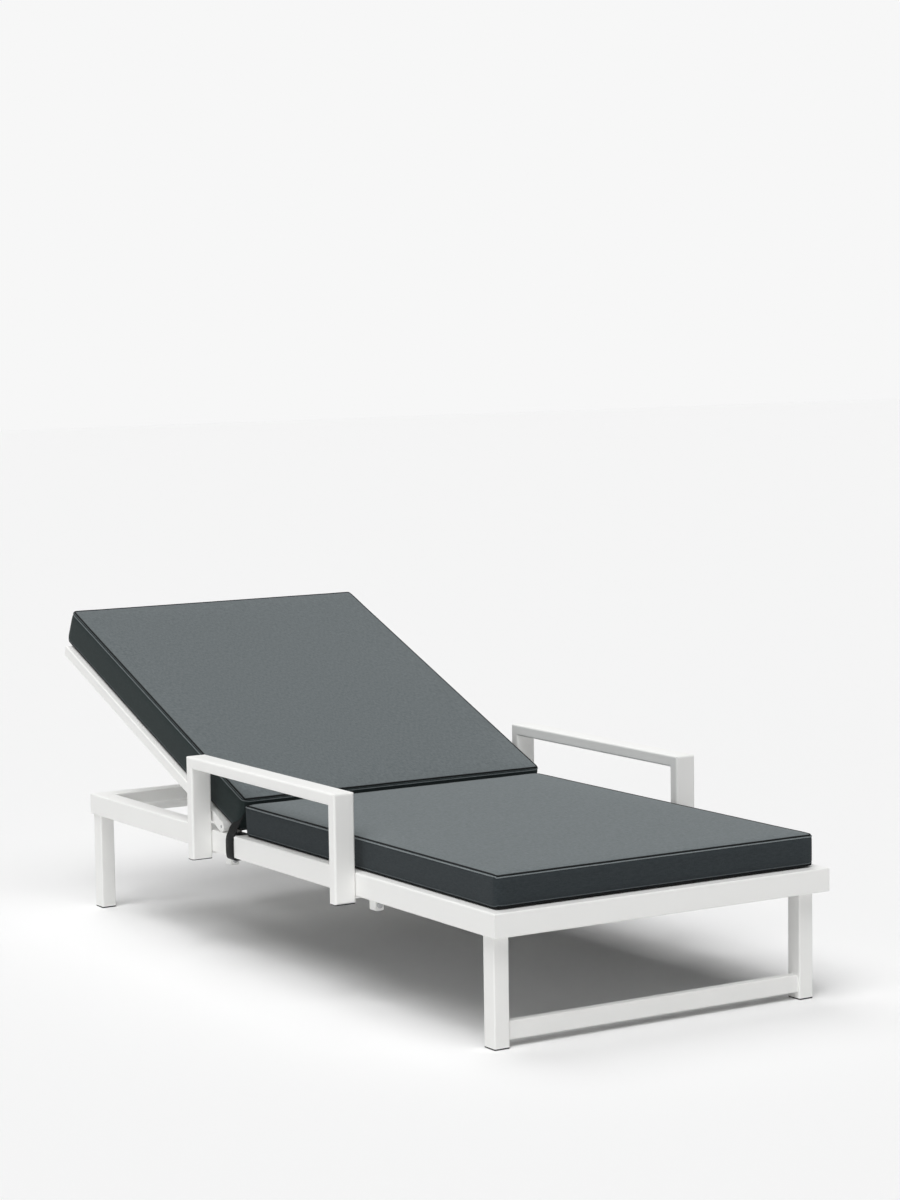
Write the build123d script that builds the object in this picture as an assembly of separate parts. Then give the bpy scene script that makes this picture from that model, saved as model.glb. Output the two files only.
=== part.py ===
"""Sun lounger: a welded tube frame with clamp-on armrests, a backrest that hinges on
the side rails, a prop that runs its foot bar along two notched racks, and two pads.

Millimetres. X runs across, Y from the foot end to the head end, Z up from the floor.
Everything is laid out from the foot end of the frame, and is then moved so that the
origin is on the floor under the middle of the whole lounger.
"""
import os
from math import acos, atan, cos, degrees, radians, sin

from build123d import *

os.makedirs("parts", exist_ok=True)

# Base frame of mitred rectangular tube
frame_length = 1840.0
frame_width = 830.0
deck_height = 280.0
rail_width = 46.0
rail_height = 50.0
tube_wall = 2.0
tube_corner = 3.5
inner_corner_share = 0.4

# Legs, their plastic feet, and the stretcher between the foot legs
leg_across = 36.0
leg_along = 40.0
foot_leg_side_inset = 18.0
foot_leg_end_inset = 33.0
head_leg_side_inset = 6.0
head_leg_end_inset = 4.0
foot_thickness = 3.0
foot_plug_depth = 18.0
foot_edge = 1.0
stretcher_height = 37.0
stretcher_depth = 22.0
stretcher_above_floor = 16.0
stretcher_recess = 6.0

# Slats and the rear crossbar under the seat pad
slat_width = 60.0
slat_thickness = 18.0
slat_wall = 1.5
slat_corner = 2.5
seat_slat_count = 6
rear_crossbar_width = 40.0
rear_crossbar_depth = 30.0

# Armrests of flat tube, clamped on the outside of the side rails
arm_width = 50.0
arm_thickness = 27.0
arm_front = 537.0
arm_rear = 1215.0
arm_top = 451.0
arm_bottom = 215.0
arm_corner = 5.0
arm_bend = 5.5
arm_cap_thickness = 2.0
arm_cap_plug = 15.0
clamp_plate_thickness = 4.0
clamp_plate_reach = 67.0
clamp_block_across = 20.0
clamp_block_along = 25.0
clamp_block_height = 33.0
clamp_block_corner = 3.0
clamp_bolt_radius = 4.0
clamp_bolt_head_radius = 6.5
clamp_bolt_head_height = 4.0
clamp_bolt_from_block_end = 12.0

# Backrest frame, which lies on the side rails when it is flat
hinge_share = 0.625
back_length = 885.0
back_rail_width = 32.0
back_rail_depth = 25.0
back_bar_depth = 18.0
back_lower_bar_width = 25.0
back_lower_bar_from_hinge = 30.0
prop_bar_width = 30.0
slat_count_below_prop_bar = 2
slat_count_above_prop_bar = 4
hinge_end_length = 16.0
hinge_end_spigot = 40.0

# Hinge brackets, pins and washers
bracket_thickness = 4.0
bracket_width = 24.0
bracket_drop = 40.0
pin_radius = 4.0
pin_head_radius = 7.0
pin_head_height = 3.0
washer_radius = 9.0
hinge_space = 11.0

# Prop and racks. The prop is as long as its pivot is far from the hinge, so that its
# foot bar runs on a straight line through the hinge axis while the backrest turns.
# Notches are counted from the hinge axis, in steps of one notch.
flat_bar_room = 21.0
flat_notch_count = 14
rest_notch_count = 13
upright_notch_count = 6
flat_bar_above_rail_bottom = 21.6
rack_thickness = 10.0
rack_above_rail_bottom = 1.0
rack_stop_length = 6.0
rack_stop_height = 6.0
notch_depth = 4.0
prop_arm_from_rail = 168.0
prop_arm_width = 8.0
prop_arm_depth = 15.0
prop_eye_wall = 4.0
foot_bar_radius = 8.0
foot_bar_wall = 1.5
foot_bar_cap = 2.5
foot_bar_plug = 12.0
ear_thickness = 4.0
ear_radius = 8.0
ear_base_thickness = 2.0

# Pads: the seat pad lies on the base frame, the back pad on the backrest frame
seat_pad_from_side = 23.0
back_pad_from_side = 17.0
pad_corner = 18.0
pad_side_draw = 4.0
pad_crown = 5.0
seat_pad_thickness = 69.0
seat_pad_from_foot = 23.0
back_pad_thickness = 83.0
back_pad_past_hinge = 54.0
back_pad_past_end = 20.0
heel_length = 96.0

# Webbing straps that tie the pads down, each a loop round a side rail with a tail
strap_width = 38.0
strap_past_seat_pad = 14.0
strap_thickness = 2.0
strap_bend = 4.5
strap_tail_rise = 18.0
strap_tail_height = 36.0

# Clearances, and one overrun for every cut
seat_gap = 0.3
rest_gap = 0.5
side_gap = 0.5
plug_gap = 0.2
bar_gap = 0.4
running_gap = 0.06
overrun = 5.0

# Places worked out from the sizes above
side_x = frame_width / 2
inner_x = side_x - rail_width
rail_x = side_x - rail_width / 2
rail_z = deck_height - rail_height / 2
rail_bottom = deck_height - rail_height
hinge_from_foot = frame_length * hinge_share
hinge_z = deck_height + rest_gap + back_rail_depth / 2
back_inner_x = inner_x + hinge_space
back_half_width = back_inner_x + back_rail_width
back_rail_x = back_inner_x + back_rail_width / 2
seat_pad_half = side_x - seat_pad_from_side
back_pad_half = side_x - back_pad_from_side
back_top = back_rail_depth / 2
bar_offset = back_top - back_bar_depth / 2
bar_underside = back_top - back_bar_depth
flat_reach = frame_length - rail_width - hinge_from_foot - flat_bar_room
flat_fall = hinge_z - rail_bottom - flat_bar_above_rail_bottom
slope = atan(flat_fall / flat_reach)
prop_length = flat_reach / (2 * cos(slope))
notch_pitch = 2 * prop_length / flat_notch_count
prop_pivot_along = prop_length * cos(slope)
prop_pivot_below = prop_length * sin(slope)


def notch_angle(notch):
    """Angle of the backrest, in degrees, with the foot bar over this notch."""
    return degrees(acos(notch / flat_notch_count))


recline_angle = notch_angle(rest_notch_count)
upright_angle = notch_angle(upright_notch_count)
lean = radians(recline_angle)

# The back pad overhangs the end of its frame and is the furthest point of the lounger.
# Its hinge end leans with the backrest, and the seat pad runs up to it.
back_pad_bottom = back_top + seat_gap
back_pad_end = back_length + back_pad_past_end
overall_length = hinge_from_foot + back_pad_end * cos(lean) - back_pad_bottom * sin(lean)
back_pad_seam = back_pad_bottom + back_pad_thickness
seat_pad_top = deck_height + seat_gap + seat_pad_thickness
heel_seam_y = hinge_from_foot - back_pad_past_hinge * cos(lean) - back_pad_seam * sin(lean)
heel_seam_z = hinge_z - back_pad_past_hinge * sin(lean) + back_pad_seam * cos(lean)
heel_face_at_seat = heel_seam_y + (heel_seam_z - seat_pad_top) * sin(lean) / cos(lean)
seat_pad_end = heel_face_at_seat - seat_gap / cos(lean)

to_origin = Pos(0, -overall_length / 2, 0)
to_backrest = Pos(0, hinge_from_foot, hinge_z) * Rot(recline_angle, 0, 0)
pivot_y = hinge_from_foot + prop_length * cos(lean - slope)
pivot_z = hinge_z + prop_length * sin(lean - slope)
to_prop = Pos(0, pivot_y, pivot_z) * Rot(-recline_angle - degrees(slope), 0, 0)


def save(name, shape):
    """Move a piece to the part's own origin and write it to its file."""
    export_step(to_origin * shape, f"parts/{name}.step")


def save_pair(name, shape):
    """Write a piece made for the right side, and its mirror image for the left side."""
    save(f"{name}_right", shape)
    save(f"{name}_left", mirror(shape, about=Plane.YZ))


def both_sides(shape):
    """A piece made for the right side, with its mirror image."""
    return Compound(children=[shape, mirror(shape, about=Plane.YZ)])


def ring(first, second, wall, corner):
    """Section of a rectangular tube, with rounded corners."""
    inside = RectangleRounded(first - 2 * wall, second - 2 * wall, corner * inner_corner_share)
    return RectangleRounded(first, second, corner) - inside


def tube(plane, first, second, wall, corner, length):
    """Open tube whose middle is at the origin and which runs square to the plane."""
    return extrude(plane * ring(first, second, wall, corner), amount=length / 2, both=True)


def mitred(blank_plane, outline, thickness, piece):
    """Cut a tube to an outline with slanted ends."""
    blank = make_face(blank_plane * Polyline(*outline, close=True))
    return piece & extrude(blank, amount=thickness, both=True)


def plate(outline, thickness):
    """Flat piece that stands square to X, its middle at the origin, from a Y and Z outline."""
    return extrude(Plane.YZ * outline, amount=thickness / 2, both=True)


def rod(radius, length):
    """Round bar along X, its middle at the origin."""
    return extrude(Plane.YZ * Circle(radius), amount=length / 2, both=True)


# Side rails, foot rail and head rail: tubes with mitred corners
side_rail = Pos(rail_x, frame_length / 2, rail_z) * tube(
    Plane.XZ, rail_width, rail_height, tube_wall, tube_corner, frame_length
)
side_outline = [
    (side_x, 0),
    (side_x, frame_length),
    (inner_x, frame_length - rail_width),
    (inner_x, rail_width),
]
save_pair("side_rail", mitred(Plane.XY, side_outline, deck_height + overrun, side_rail))

end_rail = tube(Plane.YZ, rail_width, rail_height, tube_wall, tube_corner, frame_width)
foot_outline = [(-side_x, 0), (side_x, 0), (inner_x, rail_width), (-inner_x, rail_width)]
foot_rail = Pos(0, rail_width / 2, rail_z) * end_rail
foot_rail = mitred(Plane.XY, foot_outline, deck_height + overrun, foot_rail)
save("foot_rail", foot_rail)
half_turn = Pos(0, frame_length, 0) * Rot(0, 0, 180)
save("head_rail", half_turn * foot_rail)

# Legs: tubes that stand under the frame, on plastic feet pushed into their lower ends
leg_length = rail_bottom - foot_thickness
leg_tube = tube(Plane.XY, leg_across, leg_along, tube_wall, tube_corner, leg_length)
leg_bore_across = leg_across - 2 * (tube_wall + plug_gap)
leg_bore_along = leg_along - 2 * (tube_wall + plug_gap)
foot_plug = extrude(
    RectangleRounded(leg_bore_across, leg_bore_along, tube_corner * inner_corner_share),
    amount=foot_thickness + foot_plug_depth,
)
foot_pad = extrude(RectangleRounded(leg_across, leg_along, tube_corner), amount=foot_thickness)
foot_pad = chamfer(foot_pad.faces().sort_by(Axis.Z)[0].edges(), foot_edge)
foot_shape = foot_pad + foot_plug

foot_leg_x = side_x - foot_leg_side_inset - leg_across / 2
foot_leg_y = foot_leg_end_inset + leg_along / 2
head_leg_x = side_x - head_leg_side_inset - leg_across / 2
head_leg_y = frame_length - head_leg_end_inset - leg_along / 2
for end, leg_x, leg_y in (("foot", foot_leg_x, foot_leg_y), ("head", head_leg_x, head_leg_y)):
    save_pair(f"{end}_leg", Pos(leg_x, leg_y, foot_thickness + leg_length / 2) * leg_tube)
    save_pair(f"{end}_leg_glide", Pos(leg_x, leg_y, 0) * foot_shape)

# Stretcher: a bar between the inner faces of the foot legs, just above the floor
stretcher_length = 2 * (foot_leg_x - leg_across / 2)
stretcher_y = foot_leg_end_inset + stretcher_recess + stretcher_depth / 2
stretcher_z = stretcher_above_floor + stretcher_height / 2
stretcher = tube(
    Plane.YZ, stretcher_depth, stretcher_height, slat_wall, slat_corner, stretcher_length
)
save("foot_stretcher", Pos(0, stretcher_y, stretcher_z) * stretcher)

# Seat slats and the rear crossbar, all level with the top of the frame
deck_span = 2 * inner_x
slat = tube(Plane.YZ, slat_width, slat_thickness, slat_wall, slat_corner, deck_span)
slat_z = deck_height - slat_thickness / 2
crossbar_y = seat_pad_end - rear_crossbar_width / 2
slat_step = (crossbar_y - rail_width / 2) / (seat_slat_count + 1)
slat_places = [rail_width / 2 + slat_step * (n + 1) for n in range(seat_slat_count)]
save("seat_slats", Compound(children=[Pos(0, y, slat_z) * slat for y in slat_places]))
crossbar = tube(
    Plane.YZ, rear_crossbar_width, rear_crossbar_depth, slat_wall, slat_corner, deck_span
)
save("rear_crossbar", Pos(0, crossbar_y, deck_height - rear_crossbar_depth / 2) * crossbar)

# Armrests: a flat top tube mitred to two posts that stand against the side rail
arm_x = side_x + arm_width / 2
arm_length = arm_rear - arm_front
arm_middle = (arm_front + arm_rear) / 2
post_foot = arm_bottom + arm_cap_thickness
post_length = arm_top - post_foot
arm_outline = Pos(arm_middle, (arm_top + arm_bottom) / 2) * RectangleRounded(
    arm_length, arm_top - arm_bottom, arm_bend
)
arm_limit = extrude(Plane.YZ * arm_outline, amount=side_x + arm_width + overrun)
arm_top_tube = Pos(arm_x, arm_middle, arm_top - arm_thickness / 2) * tube(
    Plane.XZ, arm_width, arm_thickness, tube_wall, arm_corner, arm_length
)
arm_top_outline = [
    (arm_front, arm_top),
    (arm_rear, arm_top),
    (arm_rear - arm_thickness, arm_top - arm_thickness),
    (arm_front + arm_thickness, arm_top - arm_thickness),
]
arm_span = side_x + arm_width + overrun
arm_top_tube = mitred(Plane.YZ, arm_top_outline, arm_span, arm_top_tube)
save_pair("arm_top", arm_top_tube & arm_limit)

post_tube = tube(Plane.XY, arm_width, arm_thickness, tube_wall, arm_corner, post_length)
post_x_z = Pos(arm_x, 0, post_foot + post_length / 2)
cap_flange = extrude(
    RectangleRounded(arm_width, arm_thickness, arm_corner), amount=arm_cap_thickness
)
cap_plug = extrude(
    RectangleRounded(
        arm_width - 2 * (tube_wall + plug_gap),
        arm_thickness - 2 * (tube_wall + plug_gap),
        arm_corner * inner_corner_share,
    ),
    amount=arm_cap_thickness + arm_cap_plug,
)
cap = Pos(arm_x, 0, arm_bottom) * (cap_flange + cap_plug)

# Each post is clamped to the rail by a plate under the rail and a block with a cross bolt
plate_inner_x = side_x - clamp_plate_reach
plate_z = rail_bottom - clamp_plate_thickness / 2
clamp_plate = Pos((side_x + plate_inner_x) / 2, 0, plate_z) * Box(
    clamp_plate_reach, arm_thickness, clamp_plate_thickness
)
block_outline = RectangleRounded(clamp_block_across, clamp_block_height, clamp_block_corner)
block_z = plate_z - clamp_plate_thickness / 2 - clamp_block_height / 2
bolt_z = block_z - clamp_block_height / 2 + clamp_bolt_from_block_end
block_x = plate_inner_x + clamp_block_across / 2
clamp_block = Pos(block_x, 0, block_z) * extrude(
    Plane.XZ * block_outline, amount=clamp_block_along / 2, both=True
)
bolt_hole = Pos(block_x, 0, bolt_z) * extrude(
    Plane.XZ * Circle(clamp_bolt_radius + running_gap), amount=clamp_block_along, both=True
)
clamp_block = clamp_block - bolt_hole
bolt_shank = extrude(Plane.XZ * Circle(clamp_bolt_radius), amount=clamp_block_along / 2, both=True)
bolt_head = extrude(Plane.XZ * Circle(clamp_bolt_head_radius), amount=clamp_bolt_head_height)
bolt_head = chamfer(bolt_head.faces().sort_by(Axis.Y)[0].edges(), foot_edge)
bolt_end = Pos(0, -clamp_block_along / 2, 0) * bolt_head
clamp_bolt = Pos(block_x, 0, bolt_z) * (bolt_shank + bolt_end)

clamp_pieces = {
    "arm_cap": cap,
    "arm_clamp_plate": clamp_plate,
    "arm_clamp_block": clamp_block,
    "arm_clamp_bolt": clamp_bolt,
}
post_places = {
    "front": arm_front + arm_thickness / 2,
    "rear": arm_rear - arm_thickness / 2,
}
post_outlines = {
    "front": [
        (arm_front, arm_top),
        (arm_front + arm_thickness, arm_top - arm_thickness),
        (arm_front + arm_thickness, arm_bottom),
        (arm_front, arm_bottom),
    ],
    "rear": [
        (arm_rear, arm_top),
        (arm_rear - arm_thickness, arm_top - arm_thickness),
        (arm_rear - arm_thickness, arm_bottom),
        (arm_rear, arm_bottom),
    ],
}
for end, post_y in post_places.items():
    post = Pos(0, post_y, 0) * post_x_z * post_tube
    post = mitred(Plane.YZ, post_outlines[end], arm_span, post)
    save_pair(f"arm_{end}_post", post & arm_limit)
for name, piece in clamp_pieces.items():
    pair = [Pos(0, post_y, 0) * piece for post_y in post_places.values()]
    save_pair(f"{name}s", Compound(children=pair))

# Hinge brackets on the inner faces of the side rails, with their pins and washers
bracket_height = bracket_drop + hinge_z - deck_height
bracket_outline = (
    Pos(0, -bracket_height / 2) * Rectangle(bracket_width, bracket_height)
    + Circle(bracket_width / 2)
    - Circle(pin_radius + running_gap)
)
bracket_x = inner_x - bracket_thickness / 2
at_hinge = Pos(0, hinge_from_foot, hinge_z)
save_pair("hinge_bracket", at_hinge * Pos(bracket_x, 0, 0) * plate(bracket_outline, bracket_thickness))

pin_inner_x = inner_x - bracket_thickness
pin_outer_x = back_half_width - side_gap
pin_length = pin_outer_x - pin_inner_x
hinge_pin = Pos((pin_inner_x + pin_outer_x) / 2, 0, 0) * rod(pin_radius, pin_length)
hinge_pin += Pos(pin_inner_x - pin_head_height / 2, 0, 0) * rod(pin_head_radius, pin_head_height)
save("hinge_pins", both_sides(at_hinge * hinge_pin))

washer_outline = Circle(washer_radius) - Circle(pin_radius + running_gap)
washer = plate(washer_outline, hinge_space - 2 * seat_gap)
washer_x = inner_x + hinge_space / 2
save("hinge_washers", both_sides(at_hinge * Pos(washer_x, 0, 0) * washer))


def on_rack(along, above):
    """Y and Z of a point this far along the foot bar's line from the hinge, and above it."""
    y = hinge_from_foot + along * cos(slope) + above * sin(slope)
    z = hinge_z - along * sin(slope) + above * cos(slope)
    return (y, z)


# Racks: bars on the inner faces of the side rails, with a notch for each position
tip = -(foot_bar_radius + bar_gap)
rack_start = upright_notch_count * notch_pitch - notch_pitch / 2
rack_end = (frame_length - rail_width - seat_gap - hinge_from_foot) / cos(slope) - rack_stop_height
stop_start = rack_end - rack_stop_length
rack_base = rail_bottom + rack_above_rail_bottom
rack_outline = [
    on_rack(rack_start, tip),
    on_rack(stop_start, tip),
    (on_rack(stop_start, tip)[0], rack_base),
    (on_rack(rack_start, tip)[0], rack_base),
]
rack_face = make_face(Polyline(*rack_outline, close=True))
for notch in range(upright_notch_count, flat_notch_count + 1):
    notch_y, notch_z = on_rack(notch * notch_pitch, -notch_depth)
    rack_face -= Pos(notch_y, notch_z) * Circle(foot_bar_radius + bar_gap)
rack_x = inner_x - rack_thickness / 2
save_pair("rack", Pos(rack_x, 0, 0) * plate(rack_face, rack_thickness))

# A stop at each rack's head end, which keeps the foot bar off the head rail
stop_foot_y = on_rack(stop_start, tip)[0]
stop_outline = [
    (stop_foot_y, rack_base),
    (stop_foot_y, on_rack(rack_end, rack_stop_height)[1]),
    on_rack(rack_end, rack_stop_height),
    (on_rack(rack_end, rack_stop_height)[0], rack_base),
]
stop_face = make_face(Polyline(*stop_outline, close=True))
save("rack_stops", both_sides(Pos(rack_x, 0, 0) * plate(stop_face, rack_thickness)))

# Backrest frame, laid out flat from the hinge axis: two rails mitred to a top rail
back_rail_length = back_length - hinge_end_length
back_rail = tube(
    Plane.XZ, back_rail_width, back_rail_depth, slat_wall, slat_corner, back_rail_length
)
back_rail = Pos(back_rail_x, hinge_end_length + back_rail_length / 2, 0) * back_rail
back_rail_outline = [
    (back_half_width, hinge_end_length),
    (back_half_width, back_length),
    (back_inner_x, back_length - back_rail_width),
    (back_inner_x, hinge_end_length),
]
back_rail = mitred(Plane.XY, back_rail_outline, back_rail_depth, back_rail)
save_pair("back_rail", to_backrest * back_rail)

back_top_rail = tube(
    Plane.YZ, back_rail_width, back_rail_depth, slat_wall, slat_corner, 2 * back_half_width
)
back_top_outline = [
    (-back_half_width, back_length),
    (back_half_width, back_length),
    (back_inner_x, back_length - back_rail_width),
    (-back_inner_x, back_length - back_rail_width),
]
back_top_rail = Pos(0, back_length - back_rail_width / 2, 0) * back_top_rail
back_top_rail = mitred(Plane.XY, back_top_outline, back_rail_depth, back_top_rail)
save("back_top_rail", to_backrest * back_top_rail)

# Hinge ends: cast ends with a round nose about the pin, pushed into the backrest rails
hinge_end_outline = (
    Circle(back_top)
    + Pos(hinge_end_length / 2, 0) * Rectangle(hinge_end_length, back_rail_depth)
    - Circle(pin_radius + running_gap)
)
spigot_section = RectangleRounded(
    back_rail_width - 2 * (slat_wall + plug_gap),
    back_rail_depth - 2 * (slat_wall + plug_gap),
    slat_corner * inner_corner_share,
)
spigot = extrude(Plane.XZ * spigot_section, amount=hinge_end_spigot / 2, both=True)
hinge_end = plate(hinge_end_outline, back_rail_width)
hinge_end += Pos(0, hinge_end_length + hinge_end_spigot / 2, 0) * spigot
save_pair("hinge_end", to_backrest * Pos(back_rail_x, 0, 0) * hinge_end)


def spread(start, end, count):
    """Places of equally spaced bars in a gap."""
    step = (end - start) / (count + 1)
    return [start + step * (n + 1) for n in range(count)]


# Bars across the backrest: a lower bar, slats, and the bar that carries the prop
back_span = 2 * back_inner_x
lower_bar = tube(
    Plane.YZ, back_lower_bar_width, back_bar_depth, slat_wall, slat_corner, back_span
)
save("back_lower_bar", to_backrest * Pos(0, back_lower_bar_from_hinge, bar_offset) * lower_bar)
prop_bar = tube(Plane.YZ, prop_bar_width, back_bar_depth, slat_wall, slat_corner, back_span)
save("prop_bar", to_backrest * Pos(0, prop_pivot_along, bar_offset) * prop_bar)
back_slat = tube(Plane.YZ, slat_width, back_bar_depth, slat_wall, slat_corner, back_span)
lower_edge = back_lower_bar_from_hinge + back_lower_bar_width / 2
below = spread(lower_edge, prop_pivot_along - prop_bar_width / 2, slat_count_below_prop_bar)
above = spread(
    prop_pivot_along + prop_bar_width / 2, back_length - back_rail_width, slat_count_above_prop_bar
)
for name, places in (("lower_back_slats", below), ("upper_back_slats", above)):
    slats = Compound(children=[Pos(0, y, bar_offset) * back_slat for y in places])
    save(name, to_backrest * slats)

# Prop ears: channels under the prop bar, with the pins on which the prop arms turn
ear_gap = prop_arm_width + 2 * side_gap
ear_drop = prop_pivot_below + bar_underside
ear_outline = (
    Pos(0, ear_drop / 2) * Rectangle(2 * ear_radius, ear_drop)
    + Circle(ear_radius)
    - Circle(pin_radius + running_gap)
)
ear_offset = (ear_gap + ear_thickness) / 2
ears = Pos(-ear_offset, 0, 0) * plate(ear_outline, ear_thickness)
ears += Pos(ear_offset, 0, 0) * plate(ear_outline, ear_thickness)
ears += Pos(0, 0, ear_drop - ear_base_thickness / 2) * Box(
    ear_gap + 2 * ear_thickness, 2 * ear_radius, ear_base_thickness
)
prop_arm_x = inner_x - prop_arm_from_rail
pivot_on_back = Pos(prop_arm_x, prop_pivot_along, -prop_pivot_below)
save("prop_ears", to_backrest * both_sides(pivot_on_back * ears))

ear_span = ear_gap + 2 * ear_thickness
prop_pin = rod(pin_radius, ear_span)
for side in (-1, 1):
    head_x = side * (ear_span + pin_head_height) / 2
    prop_pin += Pos(head_x, 0, 0) * rod(pin_head_radius, pin_head_height)
save("prop_pins", to_backrest * both_sides(pivot_on_back * prop_pin))

# Prop: two flat arms that turn on the pins and carry the foot bar through their eyes
eye_radius = foot_bar_radius + prop_eye_wall
arm_shape = Pos(prop_length / 2, 0) * SlotCenterToCenter(prop_length, prop_arm_depth)
arm_shape += Pos(prop_length, 0) * Circle(eye_radius)
arm_shape -= Circle(pin_radius + running_gap)
arm_shape -= Pos(prop_length, 0) * Circle(foot_bar_radius + running_gap)
prop_arm = Pos(prop_arm_x, 0, 0) * plate(arm_shape, prop_arm_width)
save_pair("prop_arm", to_prop * prop_arm)

bar_half = inner_x - side_gap
bar_tube_half = bar_half - foot_bar_cap
foot_bar_section = Circle(foot_bar_radius) - Circle(foot_bar_radius - foot_bar_wall)
foot_bar = extrude(Plane.YZ * foot_bar_section, amount=bar_tube_half, both=True)
at_foot = to_prop * Pos(0, prop_length, 0)
save("foot_bar", at_foot * foot_bar)
bar_cap = Pos(bar_half - foot_bar_cap / 2, 0, 0) * rod(foot_bar_radius, foot_bar_cap)
plug_radius = foot_bar_radius - foot_bar_wall - plug_gap
bar_cap += Pos(bar_tube_half - foot_bar_plug / 2, 0, 0) * rod(plug_radius, foot_bar_plug)
save("foot_bar_caps", at_foot * both_sides(bar_cap))


def crown_section(plane, start, end, thickness):
    """Section whose top swells between its two ends, with room to spare all round."""
    crown = ThreePointArc(
        (start, thickness), ((start + end) / 2, thickness + pad_crown), (end, thickness)
    )
    surround = Polyline(
        (end, thickness),
        (end + overrun, thickness),
        (end + overrun, -overrun),
        (start - overrun, -overrun),
        (start - overrun, thickness),
        (start, thickness),
    )
    return make_face(plane * Wire([crown, *surround.edges()]))


def pad(half, length, thickness):
    """Box cushion from Y zero to its length: a crowned top, and sides drawn in between
    the corners. Its first end is straight, where it meets the other cushion."""
    plan = make_face(
        Wire(
            [
                Line((-half, 0), (half, 0)),
                ThreePointArc((half, 0), (half - pad_side_draw, length / 2), (half, length)),
                ThreePointArc((half, length), (0, length - pad_side_draw), (-half, length)),
                ThreePointArc((-half, length), (-half + pad_side_draw, length / 2), (-half, 0)),
            ]
        )
    )
    far_corners = plan.vertices().sort_by(Axis.Y)[-2:]
    plan = fillet(far_corners, pad_corner)
    block = extrude(plan, amount=thickness + pad_crown)
    across = crown_section(Plane.XZ, -half, half, thickness)
    along = crown_section(Plane.YZ, 0, length, thickness)
    block = block & extrude(across, amount=length + overrun, both=True)
    return block & extrude(along, amount=half + overrun, both=True)


# Pads. The lowest stretch of the back pad is a heel that squashes against the seat pad
# when the backrest is raised; the two meet face to face.
seat_pad = pad(seat_pad_half, seat_pad_end - seat_pad_from_foot, seat_pad_thickness)
save("seat_pad", Pos(0, seat_pad_end, deck_height + seat_gap) * Rot(0, 0, 180) * seat_pad)
back_pad_length = back_pad_past_hinge + back_pad_end
back_pad = pad(back_pad_half, back_pad_length, back_pad_thickness)
back_pad = Pos(0, -back_pad_past_hinge, back_pad_bottom) * back_pad
heel_plane = Plane((0, heel_length - back_pad_past_hinge, 0), z_dir=(0, 1, 0))
save("back_pad", to_backrest * split(back_pad, bisect_by=heel_plane, keep=Keep.TOP))
save("back_pad_heel", to_backrest * split(back_pad, bisect_by=heel_plane, keep=Keep.BOTTOM))

# Straps: a loop of webbing round the side rail, and a tail up the side of the pads
strap_reach = seat_gap + strap_thickness
strap_outer = RectangleRounded(
    rail_width + 2 * strap_reach, rail_height + 2 * strap_reach, strap_bend
)
strap_inner = RectangleRounded(
    rail_width + 2 * seat_gap, rail_height + 2 * seat_gap, strap_bend - strap_thickness
)
pad_side = back_pad_half + seat_gap + strap_thickness / 2
strap_middle = side_x + seat_gap + strap_thickness / 2
tail_top = deck_height + strap_tail_rise
tail_line = FilletPolyline(
    (strap_middle, rail_z),
    (strap_middle, deck_height),
    (pad_side, tail_top),
    (pad_side, tail_top + strap_tail_height),
    radius=strap_bend,
)
strap_face = Pos(rail_x, rail_z) * (strap_outer - strap_inner) + trace(tail_line, strap_thickness)
strap = extrude(Plane.XZ * strap_face, amount=-strap_width)
save_pair("strap", Pos(0, seat_pad_end + strap_past_seat_pad, 0) * strap)

# The joint axes and limits, for the record
half_length = overall_length / 2
print("overall length", round(overall_length, 2), "slope", round(degrees(slope), 4))
print("hinge axis", round(hinge_from_foot - half_length, 3), round(hinge_z, 3))
print("prop pivot", round(pivot_y - half_length, 3), round(pivot_z, 3))
print("recline", round(recline_angle, 4), "upright", round(upright_angle, 4))
foot_y, foot_z = on_rack(rest_notch_count * notch_pitch, 0)
print("foot bar at rest", round(foot_y - half_length, 3), round(foot_z, 3))
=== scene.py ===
from math import cos, pi, radians, sin

import bmesh
import bpy
from mathutils import Matrix, Vector
from mathutils.bvhtree import BVHTree


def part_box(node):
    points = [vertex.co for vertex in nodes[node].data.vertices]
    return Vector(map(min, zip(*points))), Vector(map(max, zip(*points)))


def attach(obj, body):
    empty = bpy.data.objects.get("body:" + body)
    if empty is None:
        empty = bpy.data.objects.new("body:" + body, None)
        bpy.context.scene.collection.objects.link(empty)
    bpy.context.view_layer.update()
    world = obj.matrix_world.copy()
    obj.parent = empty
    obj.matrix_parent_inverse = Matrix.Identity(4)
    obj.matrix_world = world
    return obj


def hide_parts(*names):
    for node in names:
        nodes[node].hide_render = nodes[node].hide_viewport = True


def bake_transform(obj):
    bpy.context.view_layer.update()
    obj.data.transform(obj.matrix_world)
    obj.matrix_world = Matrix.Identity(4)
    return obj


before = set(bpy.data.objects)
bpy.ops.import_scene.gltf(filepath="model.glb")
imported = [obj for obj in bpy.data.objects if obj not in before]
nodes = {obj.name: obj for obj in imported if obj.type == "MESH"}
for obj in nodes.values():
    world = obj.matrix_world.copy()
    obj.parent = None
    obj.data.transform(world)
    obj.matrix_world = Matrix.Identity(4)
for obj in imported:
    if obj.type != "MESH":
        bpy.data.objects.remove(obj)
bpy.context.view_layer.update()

# Powder-coated frame tubes
# All of the welded tubes and bars are aluminium with a satin white powder coat. The coat
# hides the metal, and leaves a faint orange peel and a slightly uneven gloss.


def linear(hex_colour):
    """sRGB hex to the linear colour that a shader socket takes."""
    channels = [int(hex_colour[i:i + 2], 16) / 255 for i in (1, 3, 5)]
    bright = [c / 12.92 if c <= 0.04045 else ((c + 0.055) / 1.055) ** 2.4 for c in channels]
    return (*bright, 1.0)


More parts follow.
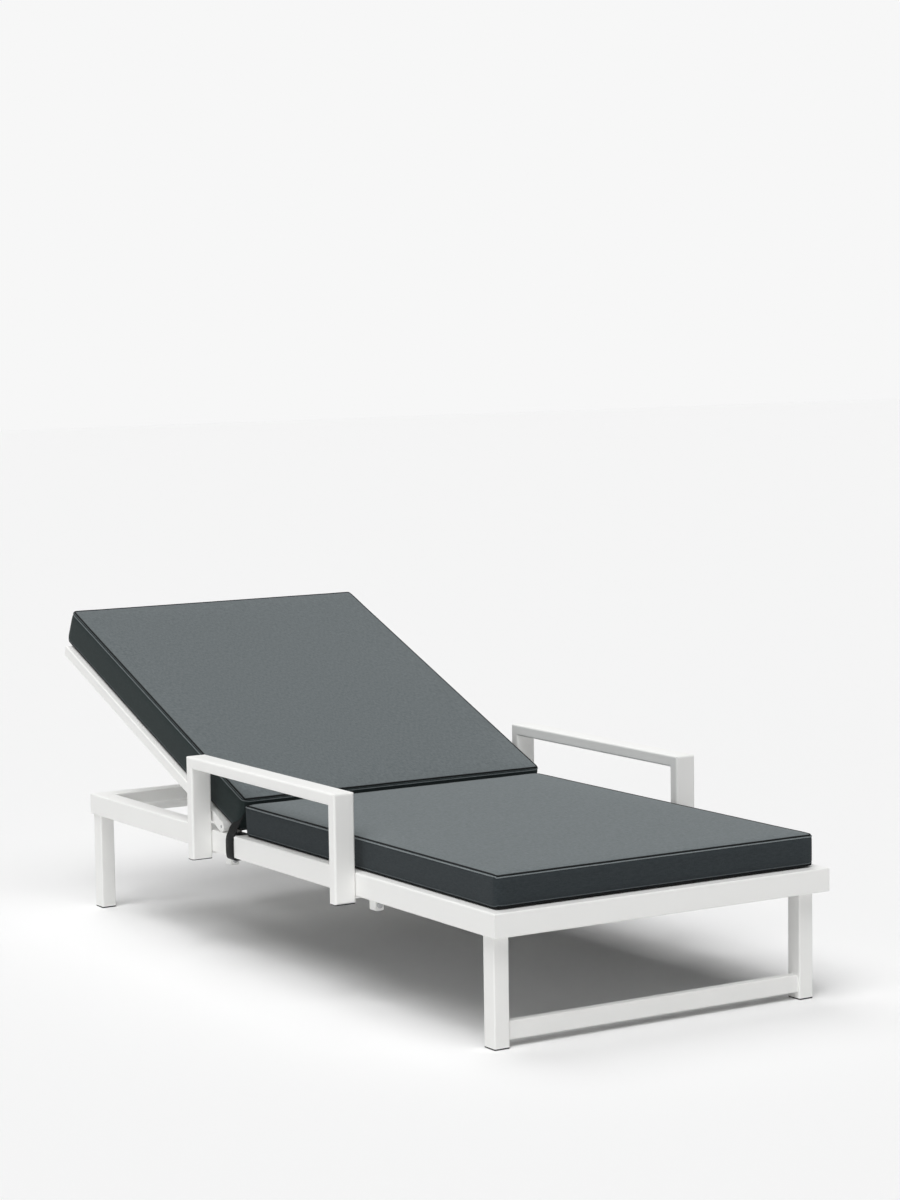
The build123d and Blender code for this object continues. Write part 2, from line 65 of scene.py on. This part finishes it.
def set_up(tree, node, settings=(), links=()):
    """Sets a shader node's properties and sockets, and links its inputs."""
    for name, value in dict(settings).items():
        if hasattr(node, str(name)):
            setattr(node, name, value)
        else:
            node.inputs[name].default_value = value
    for name, source in dict(links).items():
        tree.links.new(source, node.inputs[name])
    return node


def add_node(tree, kind, settings=(), links=()):
    """Adds a shader node with its settings and links."""
    return set_up(tree, tree.nodes.new(kind), settings, links)


def new_material(name):
    """An empty material, with its tree and its finished surface shader."""
    material = bpy.data.materials.new(name)
    material.use_nodes = True
    return material, material.node_tree, material.node_tree.nodes["Principled BSDF"]


def two_tone(tree, factor, first, second):
    """Colour ramp between two hex colours."""
    ramp = add_node(tree, "ShaderNodeValToRGB", links={"Fac": factor})
    ramp.color_ramp.elements[0].color = linear(first)
    ramp.color_ramp.elements[1].color = linear(second)
    return ramp.outputs["Color"]


def per_metre(size_mm):
    """Noise scale that gives features of this size."""
    return 1000 / size_mm


def powder_coat():
    """Polyester powder coat: a satin plastic skin, a little wavy, never quite even."""
    peel_mm = 2.5
    cloud_mm = 160
    material, tree, surface = new_material("white_powder_coat")
    place = add_node(tree, "ShaderNodeTexCoord").outputs["Object"]
    peel = add_node(
        tree,
        "ShaderNodeTexNoise",
        {"Scale": per_metre(peel_mm), "Detail": 2.0},
        {"Vector": place},
    ).outputs["Fac"]
    cloud = add_node(
        tree,
        "ShaderNodeTexNoise",
        {"Scale": per_metre(cloud_mm), "Detail": 3.0},
        {"Vector": place},
    ).outputs["Fac"]
    colour = two_tone(tree, cloud, "#f3f3f1", "#f8f8f6")
    gloss = add_node(
        tree, "ShaderNodeMapRange", {"To Min": 0.36, "To Max": 0.5}, {"Value": cloud}
    ).outputs["Result"]
    bump = add_node(
        tree, "ShaderNodeBump", {"Strength": 0.08, "Distance": 0.0004}, {"Height": peel}
    ).outputs["Normal"]
    set_up(
        tree, surface, {"IOR": 1.5}, {"Base Color": colour, "Roughness": gloss, "Normal": bump}
    )
    return material


def paint(material, *names):
    """Gives CAD nodes a material."""
    for name in names:
        mesh = nodes[name].data
        mesh.materials.clear()
        mesh.materials.append(material)


tubes = ["foot_rail", "head_rail", "foot_stretcher", "seat_slats", "rear_crossbar"]
tubes += ["back_top_rail", "back_lower_bar", "prop_bar", "lower_back_slats", "upper_back_slats"]
tubes += ["prop_ears", "foot_bar", "rack_stops"]
for side in ("left", "right"):
    tubes += [f"side_rail_{side}", f"foot_leg_{side}", f"head_leg_{side}"]
    tubes += [f"arm_top_{side}", f"arm_front_post_{side}", f"arm_rear_post_{side}"]
    tubes += [f"arm_clamp_plates_{side}", f"arm_clamp_blocks_{side}", f"hinge_bracket_{side}"]
    tubes += [f"rack_{side}", f"back_rail_{side}", f"hinge_end_{side}", f"prop_arm_{side}"]
paint(powder_coat(), *tubes)

# Leg glides and tube caps
# Plugs of black polyethylene, injection moulded, pushed into the open ends of the legs,
# the armrest posts and the prop's foot bar. Moulding leaves a fine, dull grain.


def moulded_plastic(name, dark, light, roughness):
    """Moulded plastic: one colour all through, with a fine grain from the mould and a
    gloss that scuffs have made uneven."""
    grain_mm = 1.2
    scuff_mm = 14
    gloss_spread = 0.08
    material, tree, surface = new_material(name)
    place = add_node(tree, "ShaderNodeTexCoord").outputs["Object"]
    grain = add_node(
        tree,
        "ShaderNodeTexNoise",
        {"Scale": per_metre(grain_mm), "Detail": 2.0},
        {"Vector": place},
    ).outputs["Fac"]
    scuff = add_node(
        tree,
        "ShaderNodeTexNoise",
        {"Scale": per_metre(scuff_mm), "Detail": 4.0},
        {"Vector": place},
    ).outputs["Fac"]
    bump = add_node(
        tree, "ShaderNodeBump", {"Strength": 0.25, "Distance": 0.0003}, {"Height": grain}
    ).outputs["Normal"]
    gloss = add_node(
        tree,
        "ShaderNodeMapRange",
        {"To Min": roughness - gloss_spread, "To Max": roughness + gloss_spread},
        {"Value": scuff},
    ).outputs["Result"]
    colour = two_tone(tree, scuff, dark, light)
    set_up(
        tree, surface, {"IOR": 1.5}, {"Base Color": colour, "Roughness": gloss, "Normal": bump}
    )
    return material


black_plastic = moulded_plastic("black_polyethylene", "#141414", "#222222", 0.55)
for side in ("left", "right"):
    paint(black_plastic, f"foot_leg_glide_{side}", f"head_leg_glide_{side}", f"arm_caps_{side}")
paint(black_plastic, "foot_bar_caps")

# Hinge washers
# Thin rings of natural nylon between the hinge brackets and the backrest's rails, cut
# from sheet. They keep the powder coat on both from rubbing.
paint(moulded_plastic("natural_nylon", "#d6d3c6", "#e2dfd4", 0.42), "hinge_washers")

# Hinge pins, prop pins and clamp bolts
# Turned stainless steel, left bare. The turning leaves fine rings and a soft shine.


def turned_steel():
    """Bare stainless steel, turned: a mid-grey metal with a soft, streaky gloss."""
    streak_mm = 0.9
    material, tree, surface = new_material("turned_stainless")
    place = add_node(tree, "ShaderNodeTexCoord").outputs["Object"]
    streak = add_node(
        tree,
        "ShaderNodeTexNoise",
        {"Scale": per_metre(streak_mm), "Detail": 3.0},
        {"Vector": place},
    ).outputs["Fac"]
    gloss = add_node(
        tree, "ShaderNodeMapRange", {"To Min": 0.22, "To Max": 0.4}, {"Value": streak}
    ).outputs["Result"]
    colour = two_tone(tree, streak, "#a9aaab", "#c4c5c6")
    set_up(tree, surface, {"Metallic": 1.0}, {"Base Color": colour, "Roughness": gloss})
    return material


paint(turned_steel(), "hinge_pins", "prop_pins", "arm_clamp_bolts_left", "arm_clamp_bolts_right")

# Seat pad and back pad
# Foam slabs in zipped covers of charcoal outdoor canvas: a top panel, a boxing strip all
# round, and a piped seam where the two meet. The top panel is drawn in a lighter cloth and
# the boxing in a darker one: painted light and sheen on the top, painted shade on the sides.
# The back pad's cloths are darker than the seat pad's, as painted shade. The piping cords
# are drawn lighter as painted highlights, and black cords paint the shade in the top seams
# and the shadow under the bottom edges. The foam fills the cover tightly.
hinge_y = 0.157197
hinge_z = 0.293
recline = radians(21.7868)
at_backrest = Matrix.Translation((0, hinge_y, hinge_z)) @ Matrix.Rotation(recline, 4, "X")
seat_low, seat_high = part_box("seat_pad")
seat_half = seat_high[0]
seat_length = seat_high[1] - seat_low[1]
back_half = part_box("back_pad")[1][0]
pad_crown = 0.005
seat_thickness = seat_high[2] - seat_low[2] - pad_crown
back_pad_start = -0.054
back_pad_end = 0.905
back_pad_bottom = 0.0128
back_length = back_pad_end - back_pad_start
back_thickness = 0.083
pad_corner = 0.012
pad_edge = 0.005
swell_room = 0.002
swell_cap = 0.0025
swell_frames = 20
side_swell = 0.003
crown_rise = 0.0005
pad_end_share = 0.06
voxel = 0.009
seam_step = 0.02


def wave_scale(size_mm):
    """Wave texture scale that gives bands of this size."""
    bands_at_scale_one = 20 / (2 * pi)
    return per_metre(size_mm) / bands_at_scale_one


def canvas(name, dark, light, tilt, sheen=0.15):
    """Woven acrylic canvas of two greys twisted together: dull, with short flecks along
    the threads and a soft sheen at low angles. Threads are 0.6 mm apart, and are drawn
    3 mm apart, the finest that shows in a picture of the whole lounger."""
    fleck_length_mm = 11
    fleck_width_mm = 2.6
    thread_mm = 3
    crease_mm = 70
    material, tree, surface = new_material(name)
    place = add_node(tree, "ShaderNodeTexCoord").outputs["Object"]
    turned = add_node(
        tree, "ShaderNodeMapping", {"Rotation": (-tilt, 0, 0)}, {"Vector": place}
    ).outputs["Vector"]
    along, across = per_metre(fleck_length_mm), per_metre(fleck_width_mm)
    flecks = []
    for scale in ((along, across, across), (across, along, across)):
        stretched = add_node(
            tree, "ShaderNodeMapping", {"Scale": scale}, {"Vector": turned}
        ).outputs["Vector"]
        fleck = add_node(
            tree,
            "ShaderNodeTexNoise",
            {"Scale": 1.0, "Detail": 2.0, "Roughness": 0.6},
            {"Vector": stretched},
        )
        flecks.append(fleck.outputs["Fac"])
    woven = add_node(
        tree, "ShaderNodeMath", {"operation": "ADD"}, {0: flecks[0], 1: flecks[1]}
    ).outputs["Value"]
    spread = add_node(
        tree, "ShaderNodeMapRange", {"From Min": 0.75, "From Max": 1.25}, {"Value": woven}
    ).outputs["Result"]
    threads = []
    for direction in ("X", "Y", "Z"):
        wave = add_node(
            tree,
            "ShaderNodeTexWave",
            {"bands_direction": direction, "Scale": wave_scale(thread_mm), "Distortion": 0.4},
            {"Vector": turned},
        )
        threads.append(wave.outputs["Fac"])
    crossed = add_node(
        tree, "ShaderNodeMath", {"operation": "ADD"}, {0: threads[0], 1: threads[1]}
    ).outputs["Value"]
    cloth = add_node(
        tree, "ShaderNodeMath", {"operation": "ADD"}, {0: crossed, 1: threads[2]}
    ).outputs["Value"]
    weave = add_node(
        tree, "ShaderNodeBump", {"Strength": 0.18, "Distance": 0.0005}, {"Height": cloth}
    ).outputs["Normal"]
    creases = add_node(
        tree,
        "ShaderNodeTexNoise",
        {"Scale": per_metre(crease_mm), "Detail": 2.0},
        {"Vector": turned},
    ).outputs["Fac"]
    bump = add_node(
        tree,
        "ShaderNodeBump",
        {"Strength": 0.25, "Distance": 0.002},
        {"Height": creases, "Normal": weave},
    ).outputs["Normal"]
    set_up(
        tree,
        surface,
        {
            "Roughness": 0.86,
            "Specular IOR Level": 0.2,
            "Sheen Weight": sheen,
            "Sheen Roughness": 0.5,
        },
        {"Base Color": two_tone(tree, spread, dark, light), "Normal": bump},
    )
    return material


def deselect_all():
    """Leaves edit mode and clears the selection."""
    if bpy.context.object and bpy.context.object.mode != "OBJECT":
        bpy.ops.object.mode_set(mode="OBJECT")
    bpy.ops.object.select_all(action="DESELECT")


def activate(piece):
    """Makes this the one selected and active object."""
    deselect_all()
    piece.select_set(True)
    bpy.context.view_layer.objects.active = piece


def apply_modifiers(piece):
    """Applies every modifier of the piece, in order."""
    activate(piece)
    for name in [modifier.name for modifier in piece.modifiers]:
        bpy.ops.object.modifier_apply(modifier=name)


def select_edges(piece, least_rise, most_rise):
    """Selects the edges that rise between these heights, and no others."""
    shape = bmesh.from_edit_mesh(piece.data)
    for edge in shape.edges:
        first, second = (vertex.co for vertex in edge.verts)
        edge.select_set(least_rise <= abs(first.z - second.z) <= most_rise)
    bmesh.update_edit_mesh(piece.data)


def box_cushion(name, half, length, height):
    """Foam slab from the origin along Y and up: a cube with rounded corners and edges."""
    deselect_all()
    bpy.ops.mesh.primitive_cube_add(size=1.0, location=(0, length / 2, height / 2))
    piece = bpy.context.object
    piece.name = name
    size = (2 * (half - swell_room), length - 2 * swell_room, height - swell_room)
    bpy.ops.transform.resize(value=size)
    bpy.ops.object.transform_apply(location=True, rotation=True, scale=True)
    bpy.ops.object.mode_set(mode="EDIT")
    bpy.ops.mesh.select_all(action="DESELECT")
    bpy.ops.mesh.select_mode(type="EDGE")
    select_edges(piece, height / 2, height)
    bpy.ops.mesh.bevel(offset=pad_corner, segments=6, affect="EDGES")
    select_edges(piece, 0, height / 100)
    bpy.ops.mesh.bevel(offset=pad_edge, segments=3, affect="EDGES")
    bpy.ops.object.mode_set(mode="OBJECT")
    return piece


def fill_with_foam(piece, height):
    """Swells the slab with cloth simulation: the panels crown between the seams."""
    remesh = piece.modifiers.new("voxels", "REMESH")
    remesh.mode = "VOXEL"
    remesh.voxel_size = voxel
    apply_modifiers(piece)
    rest = [vertex.co.copy() for vertex in piece.data.vertices]
    cloth = piece.modifiers.new("cloth", "CLOTH")
    settings = cloth.settings
    settings.use_pressure = True
    settings.uniform_pressure_force = 4.0
    settings.effector_weights.gravity = 0.0
    settings.tension_stiffness = 15.0
    settings.shrink_min = -0.01
    settings.quality = 4
    cloth.collision_settings.use_self_collision = False
    cloth.point_cache.frame_start = 1
    cloth.point_cache.frame_end = swell_frames
    for step in range(1, swell_frames + 1):
        bpy.context.scene.frame_set(step)
    apply_modifiers(piece)
    bpy.context.scene.frame_set(1)
    for vertex, start in zip(piece.data.vertices, rest):
        move = vertex.co - start
        if move.length > swell_cap:
            move = move * (swell_cap / move.length)
        if start.z < height / 2:
            move.z = max(move.z, 0)
        vertex.co = start + move


def crown(piece, half, length, height):
    """Adds to the crown: the top rises a little from the seams to the middle."""
    for vertex in piece.data.vertices:
        across = vertex.co.x / half
        along = 2 * vertex.co.y / length - 1
        up = max(vertex.co.z / height, 0)
        vertex.co.z += crown_rise * up * (1 - across**4) * (1 - along**4)


def smooth_finish(piece):
    """One subdivision and smooth shading."""
    subdivision = piece.modifiers.new("smooth", "SUBSURF")
    subdivision.levels = 1
    subdivision.render_levels = 1
    apply_modifiers(piece)
    bpy.ops.object.shade_smooth()


def fit(piece, half, length, height):
    """Stretches the filled pad a little, so that it has the size of its full cover."""
    wide = half + side_swell
    spans = ((-wide, wide), (0, length), (0, height + pad_crown))
    for axis, (start, end) in enumerate(spans):
        places = [vertex.co[axis] for vertex in piece.data.vertices]
        low, high = min(places), max(places)
        for vertex in piece.data.vertices:
            share = (vertex.co[axis] - low) / (high - low)
            vertex.co[axis] = start + share * (end - start)


def lean_ends(piece, length, height, start_top, end_top, end_bottom):
    """Pushes out the upper edge of the first end face, and both edges of the last."""
    for vertex in piece.data.vertices:
        up = max(0, min(1, vertex.co.z / height))
        along = vertex.co.y / length
        end_push = end_top * up + end_bottom * (1 - up)
        vertex.co.y -= start_top * up * max(0, 1 - along / pad_end_share)
        vertex.co.y += end_push * max(0, 1 - (1 - along) / pad_end_share)


def clothe(piece, top_cloth, boxing_cloth):
    """Top panel in a lighter cloth, and the boxing and the underside in a darker one:
    painted light on the faces that look up, and painted shade on the others.
    """
    facing_up = 0.6
    piece.data.materials.append(top_cloth)
    piece.data.materials.append(boxing_cloth)
    for face in piece.data.polygons:
        face.material_index = 0 if face.normal.z > facing_up else 1


def outline_points(half, length):
    """Points a seam step apart round a pad's outline, with its rounded corners."""
    corner_steps = 6
    corners = [(half, 0), (half, length), (-half, length), (-half, 0)]
    points = []
    for i, corner in enumerate(corners):
        here = Vector((*corner, 0))
        before = Vector((*corners[i - 1], 0))
        after = Vector((*corners[(i + 1) % len(corners)], 0))
        direction = (after - here).normalized()
        enter = here + (before - here).normalized() * pad_corner
        leave = here + direction * pad_corner
        for step in range(corner_steps + 1):
            t = step / corner_steps
            points.append(enter * (1 - t) ** 2 + here * 2 * t * (1 - t) + leave * t**2)
        run = (after - here).length - 2 * pad_corner
        count = int(run / seam_step)
        points += [leave + direction * run * step / count for step in range(1, count)]
    return points


def seam_cord(name, pad, half, length, level, out, up, radius, sunk, cloth):
    """A thin cord laid round the pad on its seam, partly sunk in the cloth. The piping cords
    are drawn with it, and so are the black cords that are painted shade. Out and up say
    from which side of the pad's edge the seam is looked for."""
    tree = BVHTree.FromObject(pad, bpy.context.evaluated_depsgraph_get())
    line = bpy.data.curves.new(name, "CURVE")
    line.dimensions = "3D"
    line.bevel_depth = radius
    line.bevel_resolution = 3
    spline = line.splines.new("POLY")
    points = outline_points(half, length)
    spline.points.add(len(points) - 1)
    for target, point in zip(spline.points, points):
        x_inside = max(pad_corner - half, min(half - pad_corner, point.x))
        y_inside = max(pad_corner, min(length - pad_corner, point.y))
        away = (point - Vector((x_inside, y_inside, 0))).normalized()
        probe = point + away * out + Vector((0, 0, level + up))
        found, normal, _, _ = tree.find_nearest(probe)
        target.co = (*(found - normal * radius * sunk), 1)
    spline.use_cyclic_u = True
    cord = bpy.data.objects.new(name, line)
    bpy.context.scene.collection.objects.link(cord)
    activate(cord)
    bpy.ops.object.convert(target="MESH")
    cord = bpy.context.object
    bpy.ops.object.shade_smooth()
    cord.data.materials.append(cloth)
    return cord


def make_pad(name, half, length, height, lean, place, cloths):
    """A finished pad with the cords of its seams, set in its place: piping cords drawn light
    as painted highlights, and black cords of painted shade. At the top, the piping lies
    below the black cord that paints the shade in the seam's groove; at the bottom it lies
    above the black cord that paints the shadow under the pad's edge."""
    pad = box_cushion(name, half, length, height)
    fill_with_foam(pad, height)
    crown(pad, half, length, height)
    smooth_finish(pad)
    fit(pad, half, length, height)
    lean_ends(pad, length, height, **lean)
    clothe(pad, cloths["top"], cloths["boxing"])
    top = {"level": height}
    bottom = {"level": 0}
    seams = {
        # A light cord: the piping, drawn lighter than the cloth round it as a painted highlight.
        "piping": {**top, "out": 0.010, "up": 0.001, "radius": 0.0012, "sunk": -0.3},
        # A black cord of painted shade, in the groove between the top piping and the top panel.
        "top_groove_shade": {**top, "out": 0.002, "up": 0.008, "radius": 0.0022, "sunk": 0.2},
        # A light cord along the bottom edge: piping drawn lighter than the boxing, as a painted
        # highlight.
        "low_piping": {**bottom, "out": 0.010, "up": 0.003, "radius": 0.0012, "sunk": 0.0},
        # A black cord of painted shade: the shadow line under the pad's bottom edge.
        "low_edge_shadow": {**bottom, "out": 0.006, "up": -0.004, "radius": 0.0026, "sunk": 0.0},
    }
    pieces = [pad]
    for seam, measures in seams.items():
        cloth = cloths[seam]
        pieces.append(seam_cord(f"{name}_{seam}", pad, half, length, cloth=cloth, **measures))
    for piece in pieces:
        piece.data.transform(place)
    return pieces


# Near-black cloth for the cords that paint the shade in the seams and the shadow under the pads'
# edges.
seam_shade_cloth = canvas("painted_seam_shade", "#0c0e0f", "#16191a", 0.0, 0.0)


def pad_cloths(place, tilt, top, boxing, piping):
    """The cloths of a pad, with their threads laid along it."""
    return {
        # The top cloth is lighter than the boxing cloth: painted light and sheen on the top,
        # painted shade on the sides.
        "top": canvas(f"painted_light_top_{place}", *top, tilt),
        "boxing": canvas(f"painted_shade_boxing_{place}", *boxing, tilt, 0.05),
        # The piping cloths are lighter than the cloth round them: painted highlights along the
        # pad's edges.
        "piping": canvas(f"piping_canvas_{place}", *piping, tilt),
        "low_piping": canvas(f"low_piping_canvas_{place}", "#434a4d", "#51585b", tilt),
        "top_groove_shade": seam_shade_cloth,
        "low_edge_shadow": seam_shade_cloth,
    }


half_turn = Matrix.Rotation(radians(180), 4, "Z")
seat_pieces = make_pad(
    "seat_cushion",
    seat_half,
    seat_length,
    seat_thickness,
    lean={"start_top": 0.005, "end_top": 0.0, "end_bottom": 0.0},
    place=Matrix.Translation((0, seat_high[1], seat_low[2])) @ half_turn,
    cloths=pad_cloths(
        "flat",
        0.0,
        top=("#606769", "#737a7c"),
        boxing=("#292f32", "#33393c"),
        piping=("#6d7476", "#82898b"),
    ),
)
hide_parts("seat_pad")
for piece in seat_pieces:
    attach(piece, "base")

back_pieces = make_pad(
    "back_cushion",
    back_half,
    back_length,
    back_thickness,
    lean={"start_top": 0.002, "end_top": 0.004, "end_bottom": 0.011},
    place=at_backrest @ Matrix.Translation((0, back_pad_start, back_pad_bottom)),
    # The back pad's cloths are darker copies of the seat pad's: painted shade, for the less
    # light that falls on the reclined pad.
    cloths=pad_cloths(
        "leaning",
        recline,
        top=("#596062", "#6c7375"),
        boxing=("#1f2828", "#283131"),
        piping=("#585f61", "#6a7173"),
    ),
)
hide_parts("back_pad", "back_pad_heel")
for piece in back_pieces:
    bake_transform(piece)

# Tie-down straps
# Black polypropylene webbing, 38 mm wide and heat cut. Each runs from between the pads
# down the outside of the side rail, and is tied round it.
strap_low, strap_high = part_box("strap_right")
rail_low, rail_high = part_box("side_rail_right")
webbing_thickness = 0.002
webbing_gap = 0.0013
webbing_stand_off = 0.004
webbing_belly = 0.002
webbing_sag = 0.005
webbing_tuck = 0.014
tail_above_rail = 0.016
wide_bend = 0.006
tight_bend = 0.004
sag_inset = 0.005
sag_length = 0.015
loop_end = 0.012
over_edge = 0.002
gathered_share = 0.5
pad_gap_middle = seat_high[1] + 0.014


def webbing():
    """Woven polypropylene webbing: near black, with fine ribs across and a dull shine."""
    rib_mm = 2.4
    material, tree, surface = new_material("black_webbing")
    place = add_node(tree, "ShaderNodeTexCoord").outputs["Object"]
    ribs = add_node(
        tree,
        "ShaderNodeTexWave",
        {"bands_direction": "Z", "Scale": wave_scale(rib_mm), "Distortion": 0.3},
        {"Vector": place},
    ).outputs["Fac"]
    bump = add_node(
        tree, "ShaderNodeBump", {"Strength": 0.3, "Distance": 0.0004}, {"Height": ribs}
    ).outputs["Normal"]
    set_up(
        tree,
        surface,
        {"Roughness": 0.5, "Specular IOR Level": 0.15},
        {"Base Color": two_tone(tree, ribs, "#060708", "#0f1112"), "Normal": bump},
    )
    return material


def strap_route():
    """X and Z of the webbing's middle on the right side: from between the pads down the
    outside of the rail, under it with a little slack, up its inside and out over it."""
    outer = rail_high[0] + webbing_gap
    inner = rail_low[0] - webbing_gap
    under = rail_low[2] - webbing_gap
    over = rail_high[2] + webbing_gap
    beside_pad = back_half + webbing_stand_off
    tail = over + tail_above_rail
    return [
        (beside_pad, strap_high[2]),
        (beside_pad, tail + wide_bend),
        (beside_pad + tight_bend, tail),
        (outer - wide_bend, over + over_edge),
        (outer, over - wide_bend),
        (outer, (over + under) / 2),
        (outer, under),
        (outer - sag_inset, under - webbing_sag),
        (outer - sag_inset - sag_length, under - webbing_sag),
        (inner + tight_bend, under),
        (inner, under + tight_bend),
        (inner, over - tight_bend),
        (inner + tight_bend, over),
        (outer - loop_end, over),
    ]


def shape_strap(strap):
    """Gives the webbing a slight belly on the rail's outside, and gathers and tucks its
    upper end into the gap between the pads."""
    y_near, y_far = strap_low[1], strap_high[1]
    middle = (y_near + y_far) / 2
    tail = rail_high[2] + webbing_gap + tail_above_rail
    for vertex in strap.data.vertices:
        outwards = 1 if vertex.co.x > 0 else -1
        across = 2 * (vertex.co.y - y_near) / (y_far - y_near) - 1
        if abs(vertex.co.x) > rail_high[0]:
            vertex.co.x += outwards * webbing_belly * (1 - across**2)
        lifted = max(0, (vertex.co.z - tail) / (strap_high[2] - tail))
        gathered = pad_gap_middle + (vertex.co.y - middle) * gathered_share
        vertex.co.y += lifted * (gathered - vertex.co.y)
        vertex.co.x -= outwards * webbing_tuck * lifted**2


def make_strap(side, mirror, material):
    """Webbing drawn as a strip along its route, then given its thickness."""
    route = strap_route()
    deselect_all()
    bpy.ops.mesh.primitive_plane_add(size=1.0, location=(0, 0, 0))
    strap = bpy.context.object
    strap.name = f"tie_strap_{side}"
    bpy.ops.object.mode_set(mode="EDIT")
    shape = bmesh.from_edit_mesh(strap.data)
    shape.verts.ensure_lookup_table()
    bmesh.ops.delete(shape, geom=shape.verts[2:], context="VERTS")
    for vertex, y in zip(shape.verts, (strap_low[1], strap_high[1])):
        vertex.co = (mirror * route[0][0], y, route[0][1])
    bmesh.ops.subdivide_edges(shape, edges=shape.edges[:], cuts=3)
    bmesh.update_edit_mesh(strap.data)
    bpy.ops.mesh.select_mode(type="EDGE")
    bpy.ops.mesh.select_all(action="SELECT")
    for here, there in zip(route, route[1:]):
        step = (mirror * (there[0] - here[0]), 0, there[1] - here[1])
        bpy.ops.mesh.extrude_edges_move(TRANSFORM_OT_translate={"value": step})
    bpy.ops.object.mode_set(mode="OBJECT")
    shape_strap(strap)
    thick = strap.modifiers.new("thick", "SOLIDIFY")
    thick.thickness = webbing_thickness
    thick.offset = 0.0
    smooth = strap.modifiers.new("smooth", "SUBSURF")
    smooth.levels = 3
    smooth.render_levels = 3
    apply_modifiers(strap)
    bpy.ops.object.mode_set(mode="EDIT")
    bpy.ops.mesh.select_all(action="SELECT")
    bpy.ops.mesh.normals_make_consistent(inside=False)
    bpy.ops.object.mode_set(mode="OBJECT")
    bpy.ops.object.shade_smooth()
    strap.data.materials.append(material)
    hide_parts(f"strap_{side}")
    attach(strap, "base")


black_webbing = webbing()
make_strap("right", 1, black_webbing)
make_strap("left", -1, black_webbing)

# Floor and light
# A plain studio: a pale floor that carries on as an even backdrop, and broad lamps high
# on three sides, with a weaker low one on the left that brightens the upright faces.
floor_size = 60.0
deselect_all()
bpy.ops.mesh.primitive_plane_add(size=floor_size, location=(0, 0, 0))
floor = bpy.context.object
floor.name = "studio_floor"
floor_material, floor_tree, floor_surface = new_material("studio_floor")
set_up(
    floor_tree,
    floor_surface,
    {"Base Color": linear("#fafafa"), "Roughness": 0.9, "Specular IOR Level": 0.0},
)
floor.data.materials.append(floor_material)

# The backdrop shows to the camera and in gloss and glass, and gives the object no light
world = bpy.data.worlds.new("studio")
bpy.context.scene.world = world
world.use_nodes = True
world_tree = world.node_tree
ray = add_node(world_tree, "ShaderNodeLightPath").outputs
shows = ray["Is Camera Ray"]
for kind in ("Is Glossy Ray", "Is Transmission Ray"):
    either = add_node(
        world_tree, "ShaderNodeMath", {"operation": "MAXIMUM"}, {0: shows, 1: ray[kind]}
    )
    shows = either.outputs["Value"]
set_up(
    world_tree,
    world_tree.nodes["Background"],
    {"Color": linear("#f7f7f7")},
    {"Strength": shows},
)


def soft_lamp(name, heading, elevation, spread, strength):
    """Broad, even light from far away. The heading is turned from +X towards +Y."""
    lamp = bpy.data.lights.new(name, "SUN")
    lamp.angle = radians(spread)
    lamp.energy = strength
    piece = bpy.data.objects.new(name, lamp)
    bpy.context.scene.collection.objects.link(piece)
    turn, rise = radians(heading), radians(elevation)
    source = Vector((cos(turn) * cos(rise), sin(turn) * cos(rise), sin(rise)))
    piece.rotation_euler = (-source).to_track_quat("-Z", "Y").to_euler()


soft_lamp("left_lamp", heading=210, elevation=60, spread=40, strength=1.7)
soft_lamp("rear_lamp", heading=90, elevation=60, spread=40, strength=0.94)
soft_lamp("front_lamp", heading=270, elevation=60, spread=40, strength=0.7)
soft_lamp("low_lamp", heading=220, elevation=12, spread=40, strength=0.5)

# Camera
# Set at the place and angle of the photograph, found by fitting the frame's edges, and
# with a long lens. The image is taken as 900 by 1200 pixels.
image_width = 900
focal_pixels = 3014.9
sensor = 36.0
camera_place = (-3.5150, -5.855, 1.4472)
yaw = radians(-31.753)
pitch = radians(5.478)
roll = radians(-0.837)
camera_data = bpy.data.cameras.new("camera")
camera_data.sensor_fit = "HORIZONTAL"
camera_data.sensor_width = sensor
camera_data.lens = focal_pixels * sensor / image_width
camera_data.clip_end = 200.0
camera = bpy.data.objects.new("camera", camera_data)
bpy.context.scene.collection.objects.link(camera)
backwards = Vector((sin(yaw) * cos(pitch), -cos(yaw) * cos(pitch), sin(pitch)))
level_right = (-backwards).cross(Vector((0, 0, 1))).normalized()
level_up = level_right.cross(-backwards)
right = level_right * cos(roll) + level_up * sin(roll)
up = level_up * cos(roll) - level_right * sin(roll)
turn = Matrix((right, up, backwards)).transposed().to_4x4()
camera.matrix_world = Matrix.Translation(camera_place) @ turn
bpy.context.scene.camera = camera
bpy.context.scene.view_settings.view_transform = "Standard"
